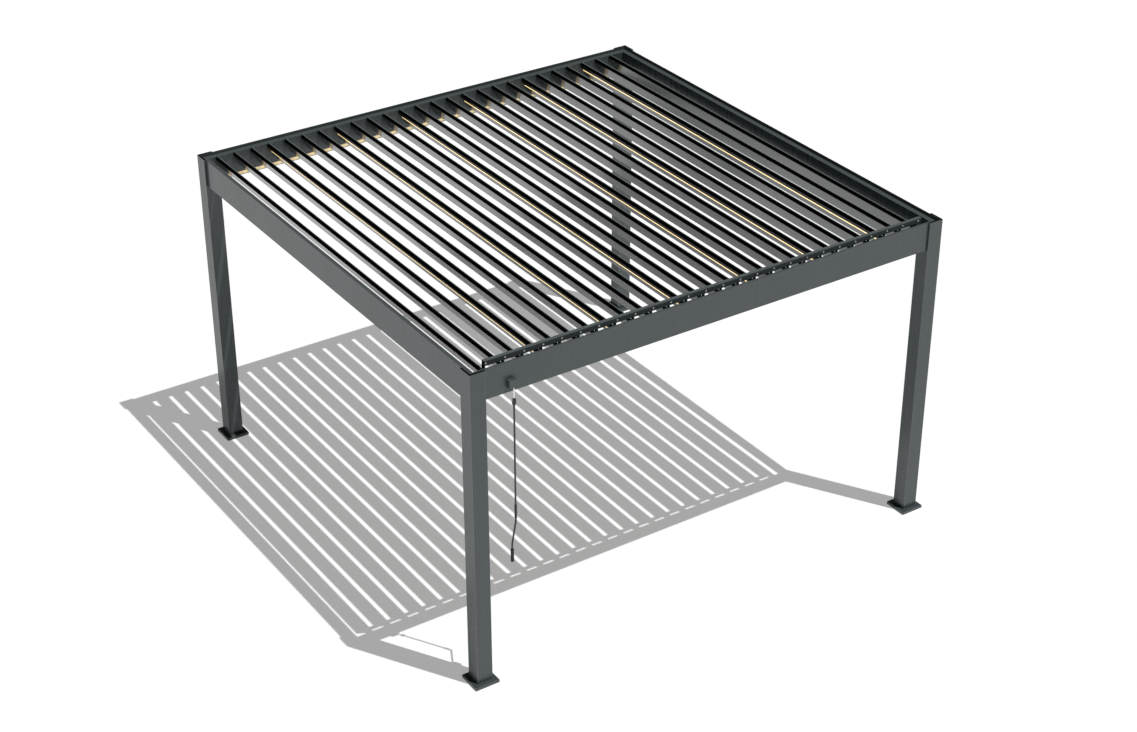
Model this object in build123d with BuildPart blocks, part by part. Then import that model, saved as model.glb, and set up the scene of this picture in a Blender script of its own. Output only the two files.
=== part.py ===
"""Louvered pergola with a hand crank, 4 x 4 m over the posts and 2.5 m high.

The origin is on the ground, on the axis of the front left post. +X runs along the front,
from the front left post to the front right one, +Y runs towards the back, and +Z is up.
The louvres stand open by rest_angle, as they do in the photograph.
"""

import os
from math import cos, radians, sin

from build123d import *

# Frame, over the outer faces of the posts
frame_width = 4000.0
frame_depth = 4000.0
frame_height = 2500.0

# Posts and feet
post_side = 120.0
post_wall = 3.0
post_stands_proud = 15.0
anchor_plate_side = 170.0
anchor_plate_thickness = 8.0
shoe_side = 190.0
shoe_height = 26.0
shoe_wall = 3.0
shoe_chamfer = 4.0
shoe_clearance = 0.3

# Ring beam: an outer lip stands above a flat ledge, and a light channel opens to the inside
beam_height = 225.0
beam_width = 51.0
beam_wall = 3.0
lip_height = 25.0
channel_sill = 5.0
channel_height = 25.0
channel_depth = 9.0
groove_count = 3
groove_pitch = 15.0
groove_height = 4.0
groove_depth = 1.0
light_clearance = 0.2

# Louvres, drawn closed: u runs across the blade from its lip side, w is up from the underside
louvre_count = 26
first_louvre_from_wall = 102.75
rest_angle = 58.0
louvre_gap = 5.0
blade_wall = 2.0
blade_crown = 28.7
crown_width = 10.0
blade_shoulder = 22.0
shoulder_slope = 3.0
lip_reach = 14.0
lip_drop = 12.0
gutter_floor = 5.0
gutter_width = 12.5
gutter_height = 21.0
gutter_lean = 2.0
pivot_from_gutter = 66.5
pivot_above = 12.2
pivot_below_top = 100.0
pivot_radius = 6.0
pivot_clearance = 0.1
end_gap = 5.0
cap_thickness = 5.0
bush_radius = 13.0
bush_height = 4.0
pin_past_wall = 6.0

# Light strips in every fourth louvre
lit_every = 4
strip_across = 56.0
strip_width = 16.0
strip_depth = 5.0

# Control bar and its arms
bar_depth = 28.0
bar_height = 37.0
bar_wall = 2.0
bar_setback = 10.0
bar_left_overhang = 12.0
bar_right_overhang = 30.0
arm_length = 101.0
arm_foot_width = 28.0
arm_end_width = 20.0
arm_corner = 6.0
arm_gap = 0.5
pin_radius = 4.0
pin_past_bar_wall = 6.0
pin_clearance = 0.1

# Crank gearbox on the front beam, at the second louvre
gearbox_louvre = 2
gearbox_width = 60.0
gearbox_depth = 35.0
gearbox_height = 60.0
gearbox_below_pivot = 84.0
gearbox_edge = 1.5
worm_offset = 15.0
worm_depth = 15.0

# Removable crank
eye_shaft_radius = 4.5
eye_shaft_length = 90.0
eye_ring_radius = 9.0
eye_ring_width = 6.0
fork_width = 24.0
fork_depth = 16.0
fork_height = 42.0
fork_slot = 8.0
fork_pin_radius = 3.0
rod_radius = 6.5
rod_bottom = 1265.0
crank_throw = 120.0
crank_drop = 103.0
crank_heading = 225.0
crank_bend_radius = 30.0
crank_tail = 142.0
sleeve_radius = 9.0
sleeve_clearance = 0.1
sleeve_above_bend = 26.0
upper_sleeve_length = 105.0
grip_radius = 12.0
grip_length = 99.0

# Places that follow from the sizes
half_post = post_side / 2
post_pitch_x = frame_width - post_side
post_pitch_y = frame_depth - post_side
beam_bottom = frame_height - beam_height
beam_offset = half_post - post_stands_proud
inner_offset = beam_offset - beam_width
front_wall_y = -inner_offset
back_wall_y = post_pitch_y + inner_offset
first_louvre_x = first_louvre_from_wall - inner_offset
louvre_pitch = (post_pitch_x - 2 * first_louvre_x) / (louvre_count - 1)
underside_width = louvre_pitch - louvre_gap
pivot_across = underside_width - pivot_from_gutter
pivot_height = frame_height - pivot_below_top
gearbox_bottom = pivot_height - gearbox_below_pivot
upper_sleeve_bottom = rod_bottom + sleeve_above_bend
bar_front_y = front_wall_y + bar_setback
cap_front_y = bar_front_y + bar_depth + arm_gap
cap_back_y = back_wall_y - end_gap


def louvre_x(number):
    """X of the pivot of a louvre, counted from 1 at the left."""
    return first_louvre_x + (number - 1) * louvre_pitch


def finish(piece, name):
    """Label a finished piece and write its STEP file."""
    piece.part.label = name
    export_step(piece.part, f"parts/{name}.step")


def make_post(name, x, y):
    """A square tube on a welded anchor plate, closed at the top, where the beams rest."""
    tube_height = beam_bottom - anchor_plate_thickness
    with BuildPart() as post:
        with BuildSketch(Plane.XY):
            with Locations((x, y)):
                Rectangle(anchor_plate_side, anchor_plate_side)
        extrude(amount=anchor_plate_thickness)
        with BuildSketch(Plane.XY.offset(anchor_plate_thickness)):
            with Locations((x, y)):
                Rectangle(post_side, post_side)
                Rectangle(post_side - 2 * post_wall, post_side - 2 * post_wall, mode=Mode.SUBTRACT)
        extrude(amount=tube_height)
        with BuildSketch(Plane.XY.offset(beam_bottom - post_wall)):
            with Locations((x, y)):
                Rectangle(post_side, post_side)
        extrude(amount=post_wall)
    finish(post, name)


def make_post_tops(sites):
    """The two outer walls of each post, which run on up past the ring beam's corner."""
    with BuildPart() as tops:
        with BuildSketch(Plane.XY.offset(beam_bottom)):
            for x, y, outer_x, outer_y in sites:
                with Locations((x, y)):
                    Rectangle(post_side, post_side)
                with Locations((x - outer_x * post_stands_proud, y - outer_y * post_stands_proud)):
                    Rectangle(post_side, post_side, mode=Mode.SUBTRACT)
        extrude(amount=beam_height)
    finish(tops, "post_tops")


def make_foot_covers(sites):
    """Hollow covers over the anchor plates, open below, with the posts through their tops."""
    opening = post_side + 2 * shoe_clearance
    places = [(x, y) for x, y, outer_x, outer_y in sites]
    with BuildPart() as covers:
        with BuildSketch(Plane.XY):
            with Locations(*places):
                Rectangle(shoe_side, shoe_side)
        extrude(amount=shoe_height)
        chamfer(covers.faces().group_by(Axis.Z)[-1].edges(), shoe_chamfer)
        with BuildSketch(Plane.XY):
            with Locations(*places):
                Rectangle(shoe_side - 2 * shoe_wall, shoe_side - 2 * shoe_wall)
        extrude(amount=shoe_height - shoe_wall - shoe_chamfer, mode=Mode.SUBTRACT)
        with BuildSketch(Plane.XY):
            with Locations(*places):
                Rectangle(opening, opening)
        extrude(amount=shoe_height, mode=Mode.SUBTRACT)
    finish(covers, "foot_covers")


def beam_corners():
    """Outer bottom corners of the ring beam, anticlockwise from the front left."""
    left, front = -beam_offset, -beam_offset
    right, back = post_pitch_x + beam_offset, post_pitch_y + beam_offset
    return [Vector(left, front, beam_bottom), Vector(right, front, beam_bottom),
            Vector(right, back, beam_bottom), Vector(left, back, beam_bottom)]


def pivot_planes(wall_y, facing):
    """Planes at the louvre pivots on a beam's inner wall."""
    return [Plane(origin=(louvre_x(number), wall_y, pivot_height), z_dir=(0, facing, 0))
            for number in range(1, louvre_count + 1)]


def make_beam(name, start, end, pivots):
    """One mitred side of the ring beam, a hollow profile run from start to end."""
    run = (end - start).normalized()
    inward = Vector(0, 0, 1).cross(run)
    ledge = beam_height - lip_height
    channel_back = beam_width - channel_depth
    channel_top = channel_sill + channel_height
    with BuildPart() as beam:
        with BuildSketch(Plane(origin=start, x_dir=inward, z_dir=run)):
            with BuildLine():
                Polyline((0, 0), (beam_width, 0), (beam_width, channel_sill),
                         (channel_back, channel_sill), (channel_back, channel_top),
                         (beam_width, channel_top), (beam_width, ledge), (beam_wall, ledge),
                         (beam_wall, beam_height), (0, beam_height), close=True)
            make_face()
            with BuildLine():
                Polyline((beam_wall, beam_wall), (channel_back - beam_wall, beam_wall),
                         (channel_back - beam_wall, channel_top + beam_wall),
                         (beam_width - beam_wall, channel_top + beam_wall),
                         (beam_width - beam_wall, ledge - beam_wall),
                         (beam_wall, ledge - beam_wall), close=True)
            make_face(mode=Mode.SUBTRACT)
            for groove in range(1, groove_count + 1):
                with Locations((beam_width, ledge - groove * groove_pitch)):
                    Rectangle(2 * groove_depth, groove_height, mode=Mode.SUBTRACT)
        extrude(amount=(end - start).length)
        split(bisect_by=Plane(origin=start, z_dir=run - inward), keep=Keep.TOP)
        split(bisect_by=Plane(origin=end, z_dir=-run - inward), keep=Keep.TOP)
        if pivots:
            for pivot in pivots:
                with BuildSketch(pivot):
                    RegularPolygon(bush_radius, side_count=6)
                extrude(amount=bush_height)
            with Locations(*pivots):
                Cylinder(pivot_radius + pivot_clearance, 2 * (beam_wall + bush_height),
                         mode=Mode.SUBTRACT)
    finish(beam, name)


def make_frame_lights():
    """Four light strips in the channels at the foot of the beams' inner walls."""
    corners = beam_corners()
    with BuildPart() as lights:
        for index, start in enumerate(corners):
            end = corners[(index + 1) % len(corners)]
            run = (end - start).normalized()
            inward = Vector(0, 0, 1).cross(run)
            with BuildSketch(Plane(origin=start + run * post_side, x_dir=inward, z_dir=run)):
                with Locations((beam_width - channel_depth / 2, channel_sill + channel_height / 2)):
                    Rectangle(channel_depth - 2 * light_clearance,
                              channel_height - 2 * light_clearance)
            extrude(amount=(end - start).length - 2 * post_side)
    finish(lights, "frame_lights")


def section_plane(number, y):
    """Plane of a louvre's section at y: u along its x, w along its y, facing the front."""
    across = (cos(radians(rest_angle)), 0, -sin(radians(rest_angle)))
    return Plane(origin=(louvre_x(number), y, pivot_height), x_dir=across, z_dir=(0, -1, 0))


def blade_outline():
    """Outer outline of the louvre, from the lip side, with the pivot at (0, 0)."""
    gutter_start = underside_width - blade_wall - gutter_width
    points = [(0, 0), (underside_width, 0), (underside_width - gutter_lean, gutter_height),
              (underside_width - gutter_lean - blade_wall, gutter_height),
              (underside_width - blade_wall, gutter_floor), (gutter_start, gutter_floor),
              (gutter_start - shoulder_slope, blade_shoulder),
              (crown_width, blade_crown), (-lip_reach, blade_crown),
              (-lip_reach, blade_crown - lip_drop),
              (blade_wall - lip_reach, blade_crown - lip_drop),
              (blade_wall - lip_reach, blade_crown - blade_wall), (0, blade_crown - blade_wall)]
    return [(u - pivot_across, w - pivot_above) for u, w in points]


def blade_cavity():
    """Outline of the closed chamber inside the blade."""
    right_foot = underside_width - 2 * blade_wall - gutter_width
    right_top = right_foot - shoulder_slope
    points = [(blade_wall, blade_wall), (right_foot, blade_wall),
              (right_top, blade_shoulder - blade_wall),
              (crown_width, blade_crown - blade_wall), (blade_wall, blade_crown - blade_wall)]
    return [(u - pivot_across, w - pivot_above) for u, w in points]


def arm_outline():
    """Outline of the upright arm, from its foot around the pivot to its end at the bar's pin."""
    top = arm_length + arm_end_width / 2
    foot = -arm_foot_width / 2
    return [(foot, 0), (foot + arm_corner, foot), (-foot - arm_corner, foot), (-foot, 0),
            (arm_end_width / 2, top - arm_corner), (arm_end_width / 2 - arm_corner, top),
            (arm_corner - arm_end_width / 2, top), (-arm_end_width / 2, top - arm_corner)]


def make_louvre(number):
    """One louvre: hollow blade, end caps, pivot pins, and the arm that the bar moves."""
    name = f"louvre_{number:02d}"
    lit = number % lit_every == 0
    blade_length = cap_back_y - cap_front_y
    arm_plane = Plane(origin=(louvre_x(number), cap_front_y + cap_thickness, pivot_height),
                      x_dir=(1, 0, 0), z_dir=(0, -1, 0))
    pin_plane = Plane(origin=(louvre_x(number), cap_front_y, pivot_height + arm_length),
                      x_dir=(1, 0, 0), z_dir=(0, -1, 0))
    strip_u = strip_across - pivot_across
    with BuildPart() as louvre:
        with BuildSketch(section_plane(number, cap_back_y)):
            with BuildLine():
                Polyline(*blade_outline(), close=True)
            make_face()
            with BuildLine():
                Polyline(*blade_cavity(), close=True)
            make_face(mode=Mode.SUBTRACT)
            if lit:
                with Locations((strip_u, -pivot_above)):
                    Rectangle(strip_width + 2 * blade_wall, strip_depth + blade_wall,
                              align=(Align.CENTER, Align.MIN))
                    Rectangle(strip_width, strip_depth, align=(Align.CENTER, Align.MIN),
                              mode=Mode.SUBTRACT)
        extrude(amount=blade_length)
        for cap_start in (cap_back_y, cap_front_y + cap_thickness):
            with BuildSketch(section_plane(number, cap_start)):
                with BuildLine():
                    Polyline(*blade_outline(), close=True)
                make_face()
            extrude(amount=cap_thickness)
        with BuildSketch(arm_plane):
            with BuildLine():
                Polyline(*arm_outline(), close=True)
            make_face()
        extrude(amount=cap_thickness)
        with BuildSketch(section_plane(number, cap_front_y)):
            Circle(pivot_radius)
        extrude(amount=cap_front_y - front_wall_y + beam_wall + pin_past_wall)
        with BuildSketch(section_plane(number, cap_back_y)):
            Circle(pivot_radius)
        extrude(amount=-(end_gap + beam_wall + pin_past_wall))
        with BuildSketch(pin_plane):
            Circle(pin_radius)
        extrude(amount=arm_gap + bar_wall + pin_past_bar_wall)
    finish(louvre, name)
    if lit:
        make_louvre_light(number, strip_u, blade_length)


def make_louvre_light(number, strip_u, blade_length):
    """The light strip in a louvre's underside."""
    with BuildPart() as light:
        with BuildSketch(section_plane(number, cap_back_y - cap_thickness - light_clearance)):
            with Locations((strip_u, -pivot_above)):
                Rectangle(strip_width - 2 * light_clearance, strip_depth - light_clearance,
                          align=(Align.CENTER, Align.MIN))
        extrude(amount=blade_length - 2 * (cap_thickness + light_clearance))
    finish(light, f"louvre_light_{number:02d}")


def make_control_bar():
    """Rectangular tube with a hole through its back wall at each louvre's pin."""
    bar_start_x = louvre_x(1) - bar_left_overhang
    bar_length = louvre_x(louvre_count) + bar_right_overhang - bar_start_x
    bar_middle_y = bar_front_y + bar_depth / 2
    pin_height = pivot_height + arm_length
    with BuildPart() as bar:
        with BuildSketch(Plane(origin=(bar_start_x, bar_middle_y, pin_height), x_dir=(0, 1, 0),
                               z_dir=(1, 0, 0))):
            Rectangle(bar_depth, bar_height)
            Rectangle(bar_depth - 2 * bar_wall, bar_height - 2 * bar_wall, mode=Mode.SUBTRACT)
        extrude(amount=bar_length)
        with Locations(*[Plane(origin=(louvre_x(number), bar_middle_y + bar_depth / 2, pin_height),
                               z_dir=(0, 1, 0)) for number in range(1, louvre_count + 1)]):
            Cylinder(pin_radius + pin_clearance, 3 * bar_wall, mode=Mode.SUBTRACT)
    finish(bar, "control_bar")


def crank_x():
    """X of the crank's axis, beside the middle of the gearbox."""
    return louvre_x(gearbox_louvre) + worm_offset


def crank_y():
    """Y of the crank's axis, in front of the beam."""
    return -beam_offset - worm_depth


def make_gearbox():
    """Gearbox housing on the outer face of the front beam, with a round collar below."""
    with BuildPart() as gearbox:
        with BuildSketch(Plane(origin=(louvre_x(gearbox_louvre), -beam_offset, gearbox_bottom),
                               x_dir=(1, 0, 0), z_dir=(0, -1, 0))):
            Rectangle(gearbox_width, gearbox_height, align=(Align.CENTER, Align.MIN))
        extrude(amount=gearbox_depth)
        chamfer(gearbox.faces().sort_by(Axis.Y)[0].edges(), gearbox_edge)
        with BuildSketch(Plane.XY.offset(gearbox_bottom)):
            with Locations((crank_x(), crank_y())):
                Circle(eye_shaft_radius + pivot_clearance)
        extrude(amount=gearbox_height / 2, mode=Mode.SUBTRACT)
    finish(gearbox, "crank_gearbox")


def make_gearbox_eye():
    """The worm's shaft with a ring at its lower end, which the crank hooks into."""
    ring_height = gearbox_bottom - eye_shaft_length - eye_ring_radius
    with BuildPart() as eye:
        with BuildSketch(Plane.XY.offset(ring_height + eye_ring_radius)):
            with Locations((crank_x(), crank_y())):
                Circle(eye_shaft_radius)
        extrude(amount=eye_shaft_length + gearbox_height / 2 - pivot_clearance)
        with BuildSketch(Plane(origin=(crank_x(), crank_y(), ring_height), z_dir=(1, 0, 0))):
            Circle(eye_ring_radius + eye_ring_width / 2)
            Circle(eye_ring_radius - eye_ring_width / 2, mode=Mode.SUBTRACT)
        extrude(amount=eye_ring_width / 2, both=True)
    finish(eye, "gearbox_eye")


def make_crank():
    """Fork head, long rod, slanted arm and lower end, as one turned and bent bar."""
    ring_height = gearbox_bottom - eye_shaft_length - eye_ring_radius
    pin_height = ring_height - eye_ring_radius + eye_ring_width / 2 + fork_pin_radius + arm_gap
    fork_bottom = pin_height - fork_height + 2 * fork_pin_radius
    throw_x = crank_throw * cos(radians(crank_heading))
    throw_y = crank_throw * sin(radians(crank_heading))
    end_x = crank_x() + throw_x
    end_y = crank_y() + throw_y
    with BuildPart() as crank:
        with BuildLine():
            FilletPolyline((crank_x(), crank_y(), fork_bottom), (crank_x(), crank_y(), rod_bottom),
                           (end_x, end_y, rod_bottom - crank_drop),
                           (end_x, end_y, rod_bottom - crank_drop - crank_tail),
                           radius=crank_bend_radius)
        with BuildSketch(Plane.XY.offset(fork_bottom)):
            with Locations((crank_x(), crank_y())):
                Circle(rod_radius)
        sweep()
        with BuildSketch(Plane.XY.offset(fork_bottom)):
            with Locations((crank_x(), crank_y())):
                Rectangle(fork_width, fork_depth)
        extrude(amount=fork_height)
        with BuildSketch(Plane.XY.offset(fork_bottom + fork_depth)):
            with Locations((crank_x(), crank_y())):
                Rectangle(fork_slot, 2 * fork_depth)
        extrude(amount=fork_height, mode=Mode.SUBTRACT)
        with Locations(Plane(origin=(crank_x(), crank_y(), pin_height), z_dir=(1, 0, 0))):
            Cylinder(fork_pin_radius, fork_width)
    finish(crank, "crank_rod")


def make_crank_grips():
    """Sleeve on the rod and grip on the lower end, both turned."""
    throw_x = crank_throw * cos(radians(crank_heading))
    throw_y = crank_throw * sin(radians(crank_heading))
    grip_bottom = rod_bottom - crank_drop - crank_tail
    with BuildPart() as grips:
        with BuildSketch(Plane.XY.offset(upper_sleeve_bottom)):
            with Locations((crank_x(), crank_y())):
                Circle(sleeve_radius)
                Circle(rod_radius + sleeve_clearance, mode=Mode.SUBTRACT)
        extrude(amount=upper_sleeve_length)
        with BuildSketch(Plane.XY.offset(grip_bottom)):
            with Locations((crank_x() + throw_x, crank_y() + throw_y)):
                Circle(grip_radius)
                Circle(rod_radius + sleeve_clearance, mode=Mode.SUBTRACT)
        extrude(amount=grip_length)
    finish(grips, "crank_grips")


def make_pergola():
    """Every piece of the pergola, written to parts."""
    os.makedirs("parts", exist_ok=True)
    sites = []
    for side_y, y, outer_y in (("front", 0.0, -1), ("back", post_pitch_y, 1)):
        for side_x, x, outer_x in (("left", 0.0, -1), ("right", post_pitch_x, 1)):
            make_post(f"post_{side_y}_{side_x}", x, y)
            sites.append((x, y, outer_x, outer_y))
    make_post_tops(sites)
    make_foot_covers(sites)
    corners = beam_corners()
    make_beam("beam_front", corners[0], corners[1], pivot_planes(front_wall_y, 1))
    make_beam("beam_right", corners[1], corners[2], [])
    make_beam("beam_back", corners[2], corners[3], pivot_planes(back_wall_y, -1))
    make_beam("beam_left", corners[3], corners[0], [])
    make_frame_lights()
    for number in range(1, louvre_count + 1):
        make_louvre(number)
    make_control_bar()
    make_gearbox()
    make_gearbox_eye()
    make_crank()
    make_crank_grips()


make_pergola()
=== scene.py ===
from math import cos, pi, radians, sin, sqrt

import bpy
from mathutils import Matrix, Vector


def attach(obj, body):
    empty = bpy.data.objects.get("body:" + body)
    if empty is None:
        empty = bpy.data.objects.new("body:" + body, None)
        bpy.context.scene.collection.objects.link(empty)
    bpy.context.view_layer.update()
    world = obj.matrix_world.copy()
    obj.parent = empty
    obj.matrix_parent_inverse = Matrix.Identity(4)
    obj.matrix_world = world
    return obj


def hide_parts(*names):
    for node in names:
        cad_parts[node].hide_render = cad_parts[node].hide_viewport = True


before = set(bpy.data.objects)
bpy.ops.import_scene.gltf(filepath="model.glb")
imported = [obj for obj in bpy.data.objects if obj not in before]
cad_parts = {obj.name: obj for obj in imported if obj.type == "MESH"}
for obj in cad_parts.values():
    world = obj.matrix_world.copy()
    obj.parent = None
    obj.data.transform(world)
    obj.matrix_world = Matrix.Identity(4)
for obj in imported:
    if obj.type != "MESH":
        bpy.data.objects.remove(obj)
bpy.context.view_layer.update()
bpy.ops.object.select_all(action="DESELECT")

# Frame, as in the solids, in metres
FRAME_MIDDLE = 1.94
FRAME_TOP = 2.5
LEDGE_Z = FRAME_TOP - 0.025
HALF_POST = 0.06
POST_STANDS_PROUD = 0.015
BEAM_FACE_Y = -0.045

# Louvres, as in the solids
LOUVRE_COUNT = 26
LOUVRE_PITCH = 0.1465
FIRST_LOUVRE_X = FRAME_MIDDLE - (LOUVRE_COUNT - 1) * LOUVRE_PITCH / 2
PIVOT_Z = 2.4
REST_OPENING = radians(58)
PIVOT_ACROSS = 0.075
PIVOT_ABOVE = 0.0122
CAP_FRONT_Y = 0.0445
CAP_BACK_Y = 3.869
CAP_THICKNESS = 0.005
BLADE_FRONT_Y = CAP_FRONT_Y + CAP_THICKNESS
BLADE_BACK_Y = CAP_BACK_Y - CAP_THICKNESS
BLADE_CROWN = 0.0287
LIP_REACH = 0.014
LIP_DROP = 0.012
GUTTER_FROM = 0.127
GUTTER_TO = 0.1395
LIT_EVERY = 4
LIGHT_FROM = 0.048
LAMP_PITCH = 0.0166
ARM_LENGTH = 0.101
BAR_FRONT_Y = 0.016
BAR_TOP = 2.5195

# Crank, as in the solids
CRANK_PLACE = (0.27025, -0.06)
GEARBOX_BOTTOM = 2.316
GEARBOX_HEIGHT = 0.06
HALF_GEARBOX = 0.03
GEARBOX_FRONT_Y = CRANK_PLACE[1] - 0.02
EYE_RING_HEIGHT = 2.217
FORK_PIN_HEIGHT = 2.2145
FORK_BOTTOM = 2.1785
HALF_FORK = 0.012
ROD_RADIUS = 0.0065
ROD_BORE = ROD_RADIUS + 0.0001
SLEEVE_BOTTOM = 1.291
SLEEVE_LENGTH = 0.105
GRIP_REACH = 0.12 * sqrt(0.5)
GRIP_PLACE = (CRANK_PLACE[0] - GRIP_REACH, CRANK_PLACE[1] - GRIP_REACH)
GRIP_BOTTOM = 1.02
GRIP_LENGTH = 0.099

# Gap between a new piece and the solid that it lies on
SKIN_GAP = 0.00005
# Gap between a rubber strip's end and the end cap
END_GAP = 0.0003
TURNED_SIDES = 28

# Floor and light
FLOOR_WIDTH = 400
FLOOR_Z = -0.0005
FLOOR_GLOW = 0.34
SKY_STRENGTH = 0.06
SUN_STRENGTH = 2.55
SUN_WIDTH = radians(0.35)
SUN_DIRECTION = Vector((-0.2137, 0.3625, -1.0)).normalized()

# Where the photograph was taken from
CAMERA_PLACE = Vector((-6.063, -10.215, 9.477))
CAMERA_AZIMUTH = radians(-33.640)
CAMERA_ELEVATION = radians(30.371)
CAMERA_ROLL = radians(-0.051)
CAMERA_LENS = 68.46
CAMERA_SENSOR = 36.0
CAMERA_REACH = 500.0

WHITE = (1.0, 1.0, 1.0, 1.0)
ANTHRACITE = (0.058, 0.072, 0.076, 1.0)
# Dust colour, also the base of the painted highlights and of the paler bar top and ledge.
DUST_AND_HIGHLIGHT_ANTHRACITE = (0.074, 0.085, 0.087, 1.0)
BLACK_JOINT = (0.008, 0.009, 0.009, 1.0)
# Black of the end caps, also painted as a dark reflection beside each light.
BLACK_CAPS_AND_REFLECTION = (0.007, 0.0072, 0.0075, 1.0)


def louvre_x(number):
    """X of a louvre's pivot, counted from 1 at the left."""
    return FIRST_LOUVRE_X + (number - 1) * LOUVRE_PITCH


class Wire:
    """A number in a material. Sums, differences, products and quotients add Math nodes."""

    def __init__(self, finish, socket):
        self.finish = finish
        self.socket = socket

    def math(self, operation, first, second=0.0):
        return self.finish.node("ShaderNodeMath", {"operation": operation},
                                {0: first, 1: second})

    def magnitude(self):
        """The number without its sign."""
        return self.math("ABSOLUTE", self)

    def fraction(self):
        """The part after the decimal point."""
        return self.math("FRACT", self)

    def cosine(self):
        """The cosine of an angle in radians."""
        return self.math("COSINE", self)

    def larger(self, other):
        """The larger of two numbers."""
        return self.math("MAXIMUM", self, other)

    def __add__(self, other):
        return self.math("ADD", self, other)

    def __sub__(self, other):
        return self.math("SUBTRACT", self, other)

    def __mul__(self, other):
        return self.math("MULTIPLY", self, other)

    def __truediv__(self, other):
        return self.math("DIVIDE", self, other)

    def __rsub__(self, other):
        return self.math("SUBTRACT", other, self)

    def __rtruediv__(self, other):
        return self.math("DIVIDE", other, self)

    __radd__ = __add__
    __rmul__ = __mul__


class Finish:
    """A material in the making, with the point on the object that its patterns follow."""

    def __init__(self, name, **shader_values):
        self.material = bpy.data.materials.new(name)
        self.material.use_nodes = True
        self.tree = self.material.node_tree
        self.shader = self.tree.nodes["Principled BSDF"]
        for socket, value in shader_values.items():
            self.shader.inputs[socket.replace("_", " ")].default_value = value
        self.point = self.node("ShaderNodeTexCoord", output="Object")

    def node(self, kind, settings=None, inputs=None, output=0):
        """Any node: its settings first, then the values or wires of its sockets."""
        made = self.tree.nodes.new(kind)
        for key, value in (settings or {}).items():
            setattr(made, key, value)
        for key, value in (inputs or {}).items():
            self.feed(made.inputs[key], value)
        return Wire(self, made.outputs[output])

    def feed(self, socket, value):
        """Give a socket a wire or a plain value."""
        if isinstance(value, Wire):
            self.tree.links.new(value.socket, socket)
        else:
            socket.default_value = value

    def axes(self, letters="XYZ"):
        """The point's coordinates along the named axes."""
        return [self.node("ShaderNodeSeparateXYZ", inputs={0: self.point}, output=letter)
                for letter in letters]

    def noise(self, scale, detail, stretch=(1.0, 1.0, 1.0)):
        """Noise from 0 to 1, with its grain stretched along the axes."""
        spread = self.node("ShaderNodeVectorMath", {"operation": "MULTIPLY"},
                           {0: self.point, 1: stretch})
        return self.node("ShaderNodeTexNoise", {"noise_dimensions": "3D"},
                         {"Vector": spread, "Scale": scale, "Detail": detail})

    def blend(self, amount, first, second):
        """Colour between first and second, by amount from 0 to 1."""
        return self.node("ShaderNodeMix", {"data_type": "RGBA", "clamp_factor": True},
                         {"Factor": amount, 6: first, 7: second}, output=2)

    def ramp(self, value, low, high, to_low=0.0, to_high=1.0):
        """Value brought from low..high to to_low..to_high, and held there."""
        return self.node("ShaderNodeMapRange", {"clamp": True},
                         {"Value": value, "From Min": low, "From Max": high,
                          "To Min": to_low, "To Max": to_high})

    def between(self, value, low, high, smooth):
        """1 where value is from low to high, with soft ends."""
        rise = self.ramp(value, low - smooth, low + smooth)
        fall = self.ramp(value, high - smooth, high + smooth)
        return rise * (1.0 - fall)

    def colour(self, value):
        self.feed(self.shader.inputs["Base Color"], value)

    def glow(self, value):
        self.feed(self.shader.inputs["Emission Color"], value)

    def roughness(self, value):
        self.feed(self.shader.inputs["Roughness"], value)

    def bump(self, height, distance, strength):
        """Raises the surface by height, from 0 to 1, times distance in metres."""
        relief = self.node("ShaderNodeBump", None,
                           {"Height": height, "Distance": distance, "Strength": strength},
                           output="Normal")
        self.feed(self.shader.inputs["Normal"], relief)


def scaled(colour, times):
    """A colour times a number, still opaque."""
    return tuple(times * part for part in colour[:3]) + (1.0,)


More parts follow.
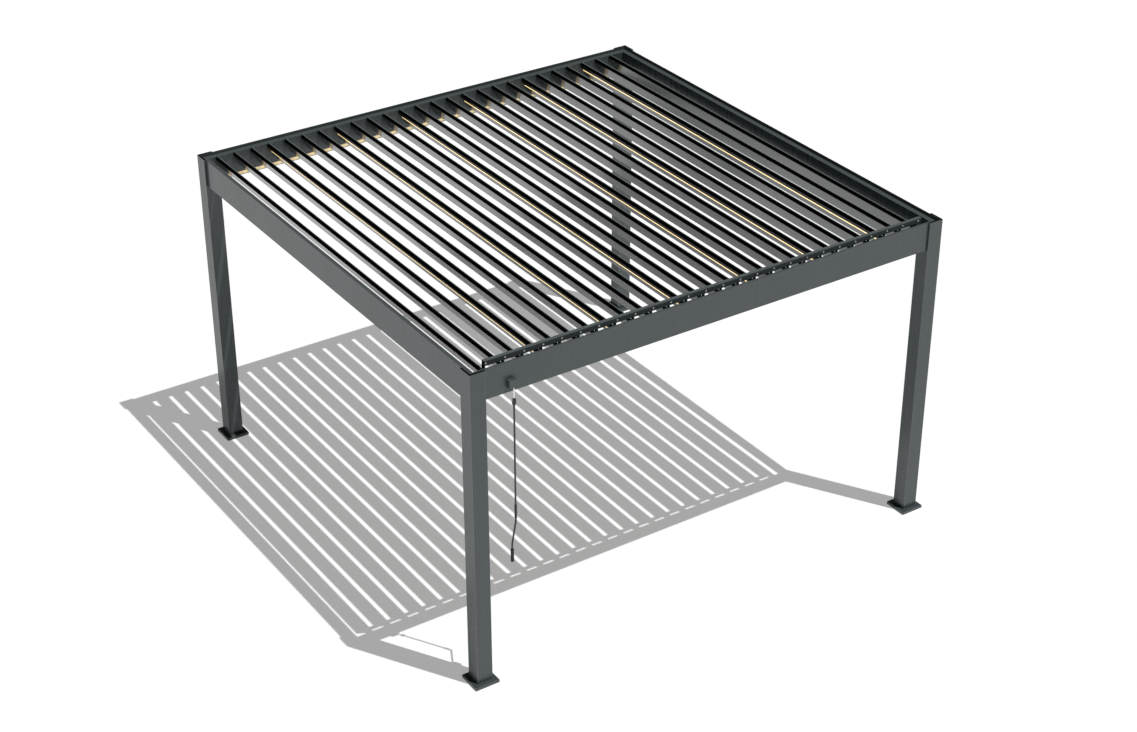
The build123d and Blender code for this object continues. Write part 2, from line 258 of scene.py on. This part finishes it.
def satin_coat(name, base, dust_and_highlight, gloss=0.25):
    """Powder coat: fine grain, cloudy dust, rain streaks, a painted highlight along the post
    edges, a paler bar top and ledge, and black mitres.
    """
    finish = Finish(name, Specular_IOR_Level=0.46)
    x, y, z = finish.axes()
    grain_fine = finish.noise(1500.0, 2.0)
    grain_wide = finish.noise(420.0, 3.0)
    cloud = finish.noise(2.6, 4.0)
    streak = finish.noise(38.0, 3.0, (1.0, 1.0, 0.05))
    dust = finish.ramp(cloud * 0.6 + streak * 0.4, 0.42, 0.68)
    speckle = finish.ramp(grain_wide, 0.35, 0.7)
    coated = finish.blend(dust * 0.4 + speckle * 0.2, base, dust_and_highlight)

    off_x = (x - FRAME_MIDDLE).magnitude()
    off_y = (y - FRAME_MIDDLE).magnitude()
    edge_from, edge_to, edge_smooth = HALF_POST - 0.0015, HALF_POST + 0.001, 0.0004
    edge = (finish.between((off_x - FRAME_MIDDLE).magnitude(), edge_from, edge_to, edge_smooth)
            * finish.between((off_y - FRAME_MIDDLE).magnitude(), edge_from, edge_to, edge_smooth))
    # Painted highlight: the post edges are painted 2.4 times as pale as the dust colour, as light
    # catching the edges.
    edge_highlighted = finish.blend(edge * 0.85, coated, scaled(dust_and_highlight, 2.4))

    # The bar's top face is painted twice as pale as the dust colour, and the ledge 1.35 times as
    # pale.
    on_bar = finish.ramp(z, BAR_TOP - 0.0012, BAR_TOP - 0.0004)
    on_ledge = finish.between(z, LEDGE_Z - 0.0005, LEDGE_Z + 0.0005, 0.0002)
    mitre = finish.ramp((off_x - off_y).magnitude(), 0.0004, 0.0009, 1.0, 0.0) * on_ledge
    bar_top_paler = finish.blend(on_bar * 0.8, edge_highlighted, scaled(dust_and_highlight, 2.0))
    ledge_paler = finish.blend(on_ledge * 0.8, bar_top_paler, scaled(dust_and_highlight, 1.35))
    finish.colour(finish.blend(mitre, ledge_paler, BLACK_JOINT))
    finish.roughness(gloss + dust * 0.08 + (grain_fine - 0.5) * 0.1)
    finish.bump(grain_fine * 0.6 + grain_wide * 0.4, 0.00012, 0.3)
    return finish


def louvre_turns(finish):
    """Pitches from the left side of the first louvre's space."""
    (x,) = finish.axes("X")
    return (x - (FIRST_LOUVRE_X - LOUVRE_PITCH / 2)) / LOUVRE_PITCH


def louvre_section(finish):
    """u across the louvre from its lip side, w up from its underside, and y, in metres."""
    y, z = finish.axes("YZ")
    along = (louvre_turns(finish).fraction() - 0.5) * LOUVRE_PITCH
    height = z - PIVOT_Z
    u = along * cos(REST_OPENING) - height * sin(REST_OPENING) + PIVOT_ACROSS
    w = along * sin(REST_OPENING) + height * cos(REST_OPENING) + PIVOT_ABOVE
    return u, w, y


def louvre_coat(base, dust_and_highlight):
    """Louvre blades in satin coat: black end caps, a painted highlight along the lip edge,
    undersides painted darker as shade, and a painted dark reflection beside each light.
    """
    finish = Finish("louvre satin coat", Specular_IOR_Level=0.175)
    u, w, y = louvre_section(finish)
    grain_fine = finish.noise(1500.0, 2.0)
    draw_line = finish.noise(900.0, 1.0, (1.0, 0.004, 1.0))
    cloud = finish.noise(2.2, 4.0, (1.0, 0.35, 1.0))
    wash = finish.noise(30.0, 3.0, (1.0, 0.04, 1.0))
    top_side = finish.ramp(w, 0.003, 0.012)
    gutter = (finish.between(u, GUTTER_FROM, GUTTER_TO, 0.001)
              * finish.between(w, 0.003, 0.018, 0.001))
    dust = finish.ramp(cloud * 0.5 + wash * 0.5, 0.4, 0.66) * (0.4 + 0.6 * top_side)
    upper = finish.blend(dust * 0.5 + gutter * wash * 0.7, base, dust_and_highlight)
    # Painted shade: the underside is painted at 0.4 to 0.6 of the coat's colour, darker than the
    # top side.
    shaded_underside = finish.blend(dust, scaled(base, 0.4), scaled(base, 0.6))
    blade = finish.blend(top_side, shaded_underside, upper)

    near, far = 0.0002, 0.0008
    front_cap = finish.ramp(y, BLADE_FRONT_Y + near, BLADE_FRONT_Y + far, 1.0, 0.0)
    back_cap = finish.ramp(y, BLADE_BACK_Y - far, BLADE_BACK_Y - near)
    ends = front_cap + back_cap
    # Painted highlight: the lip's top edge is painted 3.4 times as pale as the dust colour, as
    # the sun's glint on the rounded edge.
    lip_edge = finish.ramp(u, 0.0005 - LIP_REACH, 0.001 - LIP_REACH, 1.0, 0.0) * top_side
    lip_highlighted = finish.blend(lip_edge, blade, scaled(dust_and_highlight, 3.4))
    lit_from = (LIT_EVERY - 1) / LIT_EVERY + 0.005
    lit = finish.ramp((louvre_turns(finish) / LIT_EVERY).fraction(), lit_from, lit_from + 0.001)
    # Painted reflection: on each lit louvre the underside before the light is painted black, as a
    # dark reflection.
    dark_reflection_by_light = (lit * finish.ramp(u, LIGHT_FROM - 0.001, LIGHT_FROM, 1.0, 0.0)
                    * finish.ramp(w, 0.0004, 0.0008, 1.0, 0.0))
    finish.colour(finish.blend(ends.larger(dark_reflection_by_light), lip_highlighted, BLACK_CAPS_AND_REFLECTION))
    finish.roughness(0.18 + dust * 0.08 + draw_line * 0.05 + ends * 0.2 + dark_reflection_by_light * 0.35)
    finish.bump(grain_fine * 0.7 + draw_line * 0.3, 0.0001, 0.25)
    return finish


def light_diffuser(name, glow, strength):
    """Frosted strip over small lamps in a row, brighter at each lamp."""
    finish = Finish(name, Emission_Strength=strength)
    x, y = finish.axes("XY")
    frost = finish.noise(260.0, 2.0)
    lamps = ((x + y) * (2 * pi / LAMP_PITCH)).cosine()
    warmth = finish.ramp(lamps, -1.0, 1.0, 0.35, 1.0) * 0.6 + frost * 0.4
    finish.colour(finish.blend(frost * 0.5, (0.62, 0.50, 0.27, 1.0), (0.72, 0.60, 0.36, 1.0)))
    finish.glow(finish.blend(warmth, scaled(glow, 0.82), glow))
    finish.roughness(finish.ramp(frost, 0.3, 0.7, 0.28, 0.45))
    return finish


def bare_metal(name, base, bright, roughness, metallic=1.0):
    """Turned or drawn metal with fine lines around and along."""
    finish = Finish(name, Metallic=metallic)
    lines = finish.noise(2200.0, 2.0, (1.0, 1.0, 0.02))
    tarnish = finish.noise(60.0, 4.0)
    finish.colour(finish.blend(finish.ramp(tarnish, 0.35, 0.7), base, bright))
    finish.roughness(roughness + (lines - 0.5) * 0.2 + (tarnish - 0.5) * 0.12)
    finish.bump(lines, 0.00006, 0.3)
    return finish


def moulded(name, base, pale, roughness, grain=700.0, shine=0.45):
    """Moulded plastic or rubber with a fine leathery grain."""
    finish = Finish(name, Specular_IOR_Level=shine)
    skin = finish.noise(grain, 3.0)
    wear = finish.noise(24.0, 4.0)
    finish.colour(finish.blend(finish.ramp(wear, 0.4, 0.75) * 0.6 + skin * 0.2, base, pale))
    finish.roughness(roughness + (skin - 0.5) * 0.2)
    finish.bump(skin, 0.0002, 0.4)
    return finish


frame_coat = satin_coat("frame satin coat", ANTHRACITE, DUST_AND_HIGHLIGHT_ANTHRACITE)
bar_coat = satin_coat("control bar satin coat", scaled(ANTHRACITE, 0.9),
                      scaled(DUST_AND_HIGHLIGHT_ANTHRACITE, 0.9), 0.38)
blade_coat = louvre_coat(ANTHRACITE, DUST_AND_HIGHLIGHT_ANTHRACITE)
warm_light = light_diffuser("warm light diffuser", (1.0, 0.74, 0.33, 1.0), 1.5)
edge_light = light_diffuser("warm light diffuser of the frame", (1.0, 0.78, 0.42, 1.0), 0.4)
eye_steel = bare_metal("bright plated steel", (0.80, 0.80, 0.79, 1.0),
                       (0.92, 0.92, 0.91, 1.0), 0.2)
dull_steel = bare_metal("dull screw steel", (0.16, 0.165, 0.165, 1.0),
                        (0.26, 0.26, 0.255, 1.0), 0.45, 0.3)
zinc = bare_metal("zinc plated screw", (0.72, 0.73, 0.73, 1.0),
                  (0.84, 0.84, 0.83, 1.0), 0.38, 0.3)
rod_paint = bare_metal("crank rod coat", (0.030, 0.032, 0.033, 1.0),
                       (0.045, 0.047, 0.048, 1.0), 0.42, 0.1)
grip_plastic = moulded("crank grip plastic", (0.010, 0.010, 0.011, 1.0),
                       (0.020, 0.020, 0.021, 1.0), 0.5)
seal_rubber = moulded("black seal rubber", (0.0012, 0.0012, 0.0013, 1.0),
                      (0.0035, 0.0035, 0.0035, 1.0), 0.75, 420.0, 0.12)

# The finish of each node, by the start of its name
coats = {"post": frame_coat, "beam": frame_coat, "foot": frame_coat, "louvre": blade_coat,
         "louvre_light": warm_light, "frame_lights": edge_light, "control_bar": bar_coat,
         "crank_gearbox": frame_coat, "gearbox_eye": eye_steel, "crank_rod": rod_paint,
         "crank_grips": grip_plastic}


def coat_nodes():
    """Each node gets the finish with the longest fitting name."""
    for name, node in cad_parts.items():
        match = max((start for start in coats if name.startswith(start)), key=len)
        node.data.materials.clear()
        node.data.materials.append(coats[match].material)


def select_only(piece):
    bpy.ops.object.select_all(action="DESELECT")
    piece.select_set(True)
    bpy.context.view_layer.objects.active = piece


def begin(name, add, **sizes):
    """A piece's first form, placed in its own mesh."""
    bpy.ops.object.select_all(action="DESELECT")
    add(**sizes)
    piece = bpy.context.object
    piece.name = name
    piece.data.name = name
    bpy.ops.object.transform_apply(location=True, rotation=True, scale=True)
    return piece


def begin_block(name, low, high):
    """A block from its lowest to its highest corner."""
    size = [top - bottom for bottom, top in zip(low, high)]
    middle = [(top + bottom) / 2 for bottom, top in zip(low, high)]
    return begin(name, bpy.ops.mesh.primitive_cube_add, size=1, scale=size, location=middle)


def edit(piece, chosen, kind="FACE"):
    """Edit mode with only the chosen faces, by middle and normal, or edges, by middle and run."""
    bpy.context.view_layer.objects.active = piece
    bpy.ops.object.mode_set(mode="EDIT")
    bpy.ops.mesh.select_mode(type=kind)
    bpy.ops.mesh.select_all(action="DESELECT")
    bpy.ops.object.mode_set(mode="OBJECT")
    mesh = piece.data
    if kind == "FACE":
        for face in mesh.polygons:
            face.select = bool(chosen(face.center, face.normal))
    else:
        for line in mesh.edges:
            one, other = (mesh.vertices[index].co for index in line.vertices)
            line.select = bool(chosen((one + other) / 2, (other - one).normalized()))
    bpy.ops.object.mode_set(mode="EDIT")


def done():
    bpy.ops.object.mode_set(mode="OBJECT")


def everything(middle, direction):
    return True


def faces_front(middle, normal):
    return normal.y < -0.9


def push(piece, chosen, move):
    """Extrude the chosen faces by a move."""
    edit(piece, chosen)
    bpy.ops.mesh.extrude_region_move(TRANSFORM_OT_translate={"value": move})
    done()


def inset(piece, chosen, width, rise=0.0):
    """A smaller face inside each chosen one, raised by rise."""
    edit(piece, chosen)
    bpy.ops.mesh.inset(thickness=width, depth=rise)
    done()


def cut(piece, place, across):
    """An edge loop where a plane crosses the piece."""
    edit(piece, everything)
    bpy.ops.mesh.bisect(plane_co=place, plane_no=across)
    done()


def ease(piece, chosen, width):
    """Round the chosen edges."""
    edit(piece, chosen, "EDGE")
    bpy.ops.mesh.bevel(offset=width, segments=2, affect="EDGES")
    done()


def settle(piece, coat, body, angle=35.0):
    """Smooth shading, finish, body and slot of a piece whose shape is ready."""
    select_only(piece)
    bpy.ops.object.shade_smooth_by_angle(angle=radians(angle))
    piece.data.materials.clear()
    piece.data.materials.append(coat.material)
    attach(piece, body)


def shape_again(piece, name, shift):
    """The same shape once more, as its own mesh, moved by shift."""
    twin = piece.copy()
    twin.data = piece.data.copy()
    twin.name = name
    twin.data.name = name
    twin.data.transform(Matrix.Translation(shift))
    bpy.context.scene.collection.objects.link(twin)
    return twin


def for_each_louvre(model, stem, coat):
    """Settles a piece modelled on the first louvre, and its copies on all the others."""
    made = [model]
    for number in range(2, LOUVRE_COUNT + 1):
        made.append(shape_again(model, f"{stem}_{number:02d}",
                                (LOUVRE_PITCH * (number - 1), 0.0, 0.0)))
    for number, piece in enumerate(made, 1):
        settle(piece, coat, f"louvre_body_{number:02d}")


def open_with_louvre(piece):
    """Turn a piece drawn on the closed first louvre, pivot at the origin, to where it stands."""
    select_only(piece)
    piece.rotation_euler = (0.0, REST_OPENING, 0.0)
    piece.location = (louvre_x(1), 0.0, PIVOT_Z)
    bpy.ops.object.transform_apply(location=True, rotation=True, scale=True)


def screw_head(name, place, radius, height, sides):
    """A domed head with a round socket, facing the front."""
    piece = begin(name, bpy.ops.mesh.primitive_cylinder_add, vertices=sides, radius=radius,
                  depth=height * 0.4, rotation=(pi / 2, 0.0, 0.0),
                  location=(place[0], place[1] - height * 0.2, place[2]))
    inset(piece, faces_front, radius * 0.16, height * 0.32)
    inset(piece, faces_front, radius * 0.22, height * 0.28)
    inset(piece, faces_front, radius * 0.10)
    push(piece, lambda middle, normal: (faces_front(middle, normal)
                                        and abs(middle.z - place[2]) < radius * 0.02),
         (0.0, height * 0.55, 0.0))
    return piece


def make_bar_screws():
    """The screw at each end of an arm, through the control bar."""
    head = screw_head("bar_screw_01", (louvre_x(1), BAR_FRONT_Y, PIVOT_Z + ARM_LENGTH),
                      0.0069, 0.0028, 18)
    for_each_louvre(head, "bar_screw", zinc)


def make_cap_screws():
    """The two small screws that hold the front end cap on each louvre."""
    first_u, first_w = 0.022, 0.0165
    second_u, second_w = 0.112, 0.0125
    head = screw_head("cap_screws_01",
                      (first_u - PIVOT_ACROSS, CAP_FRONT_Y, first_w - PIVOT_ABOVE),
                      0.0042, 0.002, 14)
    edit(head, everything)
    bpy.ops.mesh.duplicate_move(TRANSFORM_OT_translate={
        "value": (second_u - first_u, 0.0, second_w - first_w)})
    done()
    open_with_louvre(head)
    for_each_louvre(head, "cap_screws", dull_steel)


def make_seals_and_recess_shade():
    """The rubber seal along each louvre, in the recess under its lip; its black also stands in
    for the shade in the recess.
    """
    thick, leg_reach, rounding = 0.003, 0.0087, 0.0004
    rib_from, rib_to, rib_rise = 0.006, 0.0105, 0.0011
    left = -PIVOT_ACROSS - thick
    top = BLADE_CROWN - 0.0022 - PIVOT_ABOVE
    bottom = 0.002 - PIVOT_ABOVE
    leg = top - 0.0022
    seal = begin_block("lip_seal_recess_shade_01",
                       (left, BLADE_FRONT_Y + END_GAP, bottom),
                       (-PIVOT_ACROSS - SKIN_GAP, BLADE_BACK_Y - END_GAP, top))
    cut(seal, (0.0, 0.0, leg), (0.0, 0.0, 1.0))
    push(seal, lambda middle, normal: normal.x < -0.9 and middle.z > leg,
         (-leg_reach, 0.0, 0.0))
    cut(seal, (0.0, 0.0, bottom + rib_from), (0.0, 0.0, 1.0))
    cut(seal, (0.0, 0.0, bottom + rib_to), (0.0, 0.0, 1.0))
    edit(seal, lambda middle, normal: (normal.x < -0.9
                                       and bottom + rib_from < middle.z < bottom + rib_to))
    bpy.ops.mesh.extrude_region_move(TRANSFORM_OT_translate={"value": (-rib_rise, 0.0, 0.0)})
    bpy.ops.transform.resize(value=(1.0, 1.0, 0.5),
                             center_override=(left, 0.0, bottom + (rib_from + rib_to) / 2))
    done()
    ease(seal, lambda middle, run: abs(run.y) > 0.99 and middle.x < left - 0.0002, rounding)
    open_with_louvre(seal)
    for_each_louvre(seal, "lip_seal_recess_shade", seal_rubber)


def make_lip_edges():
    """The rubber strip clipped on each lip's outer face, with a foot under the lip and a rib."""
    skin, bare_top, foot, foot_reach = 0.0011, 0.0044, 0.0008, 0.0024
    rib_margin, rib_rise, rounding, near = 0.0022, 0.0005, 0.0004, 0.0001
    face = -PIVOT_ACROSS - LIP_REACH - SKIN_GAP
    lip_foot = BLADE_CROWN - LIP_DROP - PIVOT_ABOVE - SKIN_GAP
    top = BLADE_CROWN - bare_top - PIVOT_ABOVE
    strip = begin_block("lip_edge_01",
                        (face - skin, BLADE_FRONT_Y + END_GAP, lip_foot - foot),
                        (face, BLADE_BACK_Y - END_GAP, top))
    cut(strip, (0.0, 0.0, lip_foot), (0.0, 0.0, 1.0))
    push(strip, lambda middle, normal: normal.x > 0.9 and middle.z < lip_foot,
         (foot_reach, 0.0, 0.0))
    inset(strip, lambda middle, normal: normal.x < -0.9 and middle.z > lip_foot, rib_margin)
    push(strip, lambda middle, normal: (normal.x < -0.9 and middle.z > lip_foot + 0.002
                                        and abs(middle.z - (top + lip_foot) / 2) < 0.0005),
         (-rib_rise, 0.0, 0.0))
    ease(strip, lambda middle, run: (abs(run.y) > 0.99 and middle.x < face - skin + near
                                     and (middle.z > top - near
                                          or middle.z < lip_foot - foot + near)), rounding)
    open_with_louvre(strip)
    for_each_louvre(strip, "lip_edge", seal_rubber)


def make_post_cap(name, outer_x, outer_y):
    """A thin black cover on the top of one post's two outer walls."""
    rise, lap, rounding = 0.0015, 0.0004, 0.0005
    outside = HALF_POST - lap
    inside = HALF_POST - POST_STANDS_PROUD + lap
    post_x = FRAME_MIDDLE * (1 + outer_x)
    post_y = FRAME_MIDDLE * (1 + outer_y)
    strip_x = sorted((post_x + outer_x * outside, post_x + outer_x * inside))
    strip_y = sorted((post_y + outer_y * outside, post_y - outer_y * outside))
    cover = begin_block(name, (strip_x[0], strip_y[0], FRAME_TOP),
                        (strip_x[1], strip_y[1], FRAME_TOP + rise))
    turn_y = post_y + outer_y * inside
    cut(cover, (0.0, turn_y, 0.0), (0.0, 1.0, 0.0))
    push(cover, lambda middle, normal: (normal.x * outer_x < -0.9
                                        and (middle.y - turn_y) * outer_y > 0),
         (-outer_x * (inside + outside), 0.0, 0.0))
    ease(cover, lambda middle, run: middle.z > FRAME_TOP + rise * 0.9 and abs(run.z) < 0.1,
         rounding)
    settle(cover, seal_rubber, "frame")


def make_post_caps():
    for side_y, outer_y in (("front", -1), ("back", 1)):
        for side_x, outer_x in (("left", -1), ("right", 1)):
            make_post_cap(f"post_cap_{side_y}_{side_x}", outer_x, outer_y)


def turned(name, place, rings, closed=False):
    """A turned piece on an upright axis through place, from rings of (height, radius)."""
    x, y = place
    height, radius = rings[0]
    piece = begin(name, bpy.ops.mesh.primitive_circle_add, vertices=TURNED_SIDES,
                  radius=radius, location=(x, y, height),
                  fill_type="NOTHING" if closed else "NGON")
    edit(piece, everything, "EDGE")
    for next_height, next_radius in rings[1:]:
        bpy.ops.mesh.extrude_region_move(
            TRANSFORM_OT_translate={"value": (0.0, 0.0, next_height - height)})
        ratio = next_radius / radius
        bpy.ops.transform.resize(value=(ratio, ratio, 1.0), center_override=(x, y, next_height))
        height, radius = next_height, next_radius
    bpy.ops.mesh.select_all(action="SELECT")
    if closed:
        bpy.ops.mesh.remove_doubles(threshold=0.00001)
    bpy.ops.mesh.normals_make_consistent(inside=False)
    done()
    return piece


def make_eye():
    """The bright worm shaft, and the dark round ring at its lower end."""
    x, y = CRANK_PLACE
    ring_radius, ring_thickness = 0.009, 0.003
    thin, thick = 0.0041, 0.0046
    low = EYE_RING_HEIGHT + ring_radius
    shaft = turned("gearbox_eye_bright", CRANK_PLACE,
                   [(low - 0.001, 0.0038), (low + 0.004, thick), (low + 0.007, thick),
                    (low + 0.008, thin), (GEARBOX_BOTTOM - 0.012, thin),
                    (GEARBOX_BOTTOM - 0.010, 0.0045), (GEARBOX_BOTTOM + 0.02, 0.0045)])
    ring = begin("gearbox_eye_ring", bpy.ops.mesh.primitive_torus_add,
                 major_radius=ring_radius, minor_radius=ring_thickness, major_segments=28,
                 minor_segments=12, rotation=(0.0, pi / 2, 0.0),
                 location=(x, y, EYE_RING_HEIGHT))
    edit(ring, lambda middle, normal: middle.z > EYE_RING_HEIGHT + 0.007)
    bpy.ops.transform.resize(value=(1.2, 1.0, 1.0), center_override=(x, y, EYE_RING_HEIGHT))
    done()
    settle(shaft, eye_steel, "crank_body", 50.0)
    settle(ring, rod_paint, "crank_body", 50.0)
    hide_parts("gearbox_eye")
    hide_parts("gearbox_eye")


def make_gearbox():
    """The housing on the front beam, with softened edges and a fine line around its lid."""
    x, top = louvre_x(2), GEARBOX_BOTTOM + GEARBOX_HEIGHT
    rim, line, line_depth, rounding, near = 0.0016, 0.0004, 0.0006, 0.0007, 0.0001
    housing = begin_block("gearbox_housing",
                          (x - HALF_GEARBOX, GEARBOX_FRONT_Y, GEARBOX_BOTTOM),
                          (x + HALF_GEARBOX, BEAM_FACE_Y, top))
    inset(housing, faces_front, rim)
    inset(housing, faces_front, line, -line_depth)
    inset(housing, faces_front, line, line_depth)
    ease(housing, lambda middle, run: (middle.y < BEAM_FACE_Y - 0.001
                                       and (abs(middle.x - x) > HALF_GEARBOX - near
                                            or middle.z < GEARBOX_BOTTOM + near
                                            or middle.z > top - near)), rounding)
    settle(housing, frame_coat, "frame", 25.0)
    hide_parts("crank_gearbox")


def make_collar():
    """The black collar under the gearbox, around the shaft."""
    bore, outside, deep = 0.0048, 0.0105, 0.0042
    collar = turned("gearbox_collar", CRANK_PLACE,
                    [(GEARBOX_BOTTOM, bore), (GEARBOX_BOTTOM, outside),
                     (GEARBOX_BOTTOM - 0.003, outside), (GEARBOX_BOTTOM - deep, 0.0095),
                     (GEARBOX_BOTTOM - deep, 0.006), (GEARBOX_BOTTOM - 0.0034, bore),
                     (GEARBOX_BOTTOM, bore)], closed=True)
    settle(collar, grip_plastic, "frame")


def make_ferrule():
    """The ferrule under the crank's forked head."""
    outside = 0.0085
    ferrule = turned("crank_ferrule", CRANK_PLACE,
                     [(FORK_BOTTOM, ROD_RADIUS), (FORK_BOTTOM, outside),
                      (FORK_BOTTOM - 0.009, outside), (FORK_BOTTOM - 0.0105, 0.0078),
                      (FORK_BOTTOM - 0.012, ROD_BORE), (FORK_BOTTOM, ROD_RADIUS)],
                     closed=True)
    settle(ferrule, grip_plastic, "crank_body")


def make_fork_pin():
    """The two heads of the pin through the crank's forked head."""
    x, y = CRANK_PLACE
    radius, thick = 0.0045, 0.0012
    for side, out in (("left", -1), ("right", 1)):
        head = begin(f"fork_pin_{side}", bpy.ops.mesh.primitive_cylinder_add, vertices=20,
                     radius=radius, depth=thick, rotation=(0.0, pi / 2, 0.0),
                     location=(x + out * (HALF_FORK + thick / 2), y, FORK_PIN_HEIGHT))
        inset(head, lambda middle, normal: normal.x * out > 0.9, 0.0011, 0.0007)
        inset(head, lambda middle, normal: normal.x * out > 0.9, 0.0012, 0.0003)
        settle(head, zinc, "crank_body")


def grip_rings(low, length, radius, groove, grooves):
    """Rings of a grip around the rod: soft ends and shallow grooves between."""
    plain_end, rounding, narrow = 0.01, 0.002, radius * 0.86
    rings = [(low, ROD_BORE), (low, narrow), (low + rounding, radius)]
    step = (length - 2 * plain_end) / grooves
    for number in range(grooves):
        start = low + plain_end + number * step
        rings += [(start, radius), (start + step * 0.15, radius - groove),
                  (start + step * 0.45, radius - groove), (start + step * 0.6, radius)]
    top = low + length
    rings += [(top - rounding, radius), (top, narrow), (top, ROD_BORE), (low, ROD_BORE)]
    return rings


def make_grips():
    """The sleeve on the rod and the ridged grip at the crank's lower end."""
    sleeve = turned("crank_sleeve", CRANK_PLACE,
                    grip_rings(SLEEVE_BOTTOM, SLEEVE_LENGTH, 0.009, 0.0007, 5), closed=True)
    grip = turned("crank_grip", GRIP_PLACE,
                  grip_rings(GRIP_BOTTOM, GRIP_LENGTH, 0.0119, 0.0012, 7), closed=True)
    for piece in (sleeve, grip):
        settle(piece, grip_plastic, "crank_body", 50.0)
        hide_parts("crank_grips")


def make_floor():
    bpy.ops.object.select_all(action="DESELECT")
    bpy.ops.mesh.primitive_plane_add(size=FLOOR_WIDTH,
                                     location=(FRAME_MIDDLE, FRAME_MIDDLE, FLOOR_Z))
    floor = bpy.context.object
    floor.name = "studio_floor"
    paving = Finish("pale floor", Roughness=1.0, Specular_IOR_Level=0.0,
                    Emission_Strength=FLOOR_GLOW)
    paving.colour(paving.blend(paving.noise(0.8, 5.0), (0.84, 0.84, 0.84, 1.0),
                               (0.86, 0.86, 0.86, 1.0)))
    paving.glow(WHITE)
    floor.data.materials.append(paving.material)


def make_light():
    world = bpy.data.worlds.new("soft studio")
    world.use_nodes = True
    sky = world.node_tree.nodes["Background"]
    sky.inputs["Color"].default_value = WHITE
    sky.inputs["Strength"].default_value = SKY_STRENGTH
    bpy.context.scene.world = world
    sun_data = bpy.data.lights.new("studio sun", "SUN")
    sun_data.energy = SUN_STRENGTH
    sun_data.angle = SUN_WIDTH
    sun = bpy.data.objects.new("studio sun", sun_data)
    sun.rotation_mode = "QUATERNION"
    sun.rotation_quaternion = SUN_DIRECTION.to_track_quat("-Z", "Y")
    bpy.context.scene.collection.objects.link(sun)


def make_camera():
    camera_data = bpy.data.cameras.new("camera")
    camera_data.lens = CAMERA_LENS
    camera_data.sensor_width = CAMERA_SENSOR
    camera_data.clip_end = CAMERA_REACH
    camera = bpy.data.objects.new("camera", camera_data)
    looks_along = Vector((-sin(CAMERA_AZIMUTH) * cos(CAMERA_ELEVATION),
                          cos(CAMERA_AZIMUTH) * cos(CAMERA_ELEVATION),
                          -sin(CAMERA_ELEVATION)))
    camera.rotation_mode = "QUATERNION"
    camera.rotation_quaternion = (looks_along.to_track_quat("-Z", "Y")
                                  @ Matrix.Rotation(CAMERA_ROLL, 3, "Z").to_quaternion())
    camera.location = CAMERA_PLACE
    bpy.context.scene.collection.objects.link(camera)
    bpy.context.scene.camera = camera
    bpy.context.scene.view_settings.view_transform = "Standard"


coat_nodes()
make_bar_screws()
make_cap_screws()
make_seals_and_recess_shade()
make_lip_edges()
make_post_caps()
make_eye()
make_gearbox()
make_collar()
make_ferrule()
make_fork_pin()
make_grips()
make_floor()
make_light()
make_camera()
